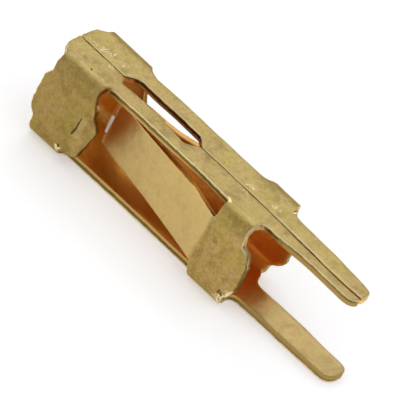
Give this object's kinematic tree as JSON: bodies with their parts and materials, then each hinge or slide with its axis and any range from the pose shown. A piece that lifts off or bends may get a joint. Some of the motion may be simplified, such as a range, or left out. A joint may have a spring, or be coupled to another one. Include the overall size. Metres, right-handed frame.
{
  "type": "solder socket contact",
  "caption": "Square socket contact folded from one gold-plated sheet, with two inward-leaning spring arms that grip a round post and two flat solder tails.",
  "frame": {"origin": "under the middle of the whole contact, on the outer face of the bottom wall", "axes": "+X from the socket mouth to the tips of the solder tails, +Z from the plain bottom wall up to the wall with the seam, Y across the contact"},
  "size_m": [0.0114, 0.0028, 0.0027],
  "materials": {
    "gold_plating": "satin gold plating over rolled copper alloy strip"
  },
  "bodies": {
    "root": {"contact_body": "gold_plating"}
  },
  "joints": []
}
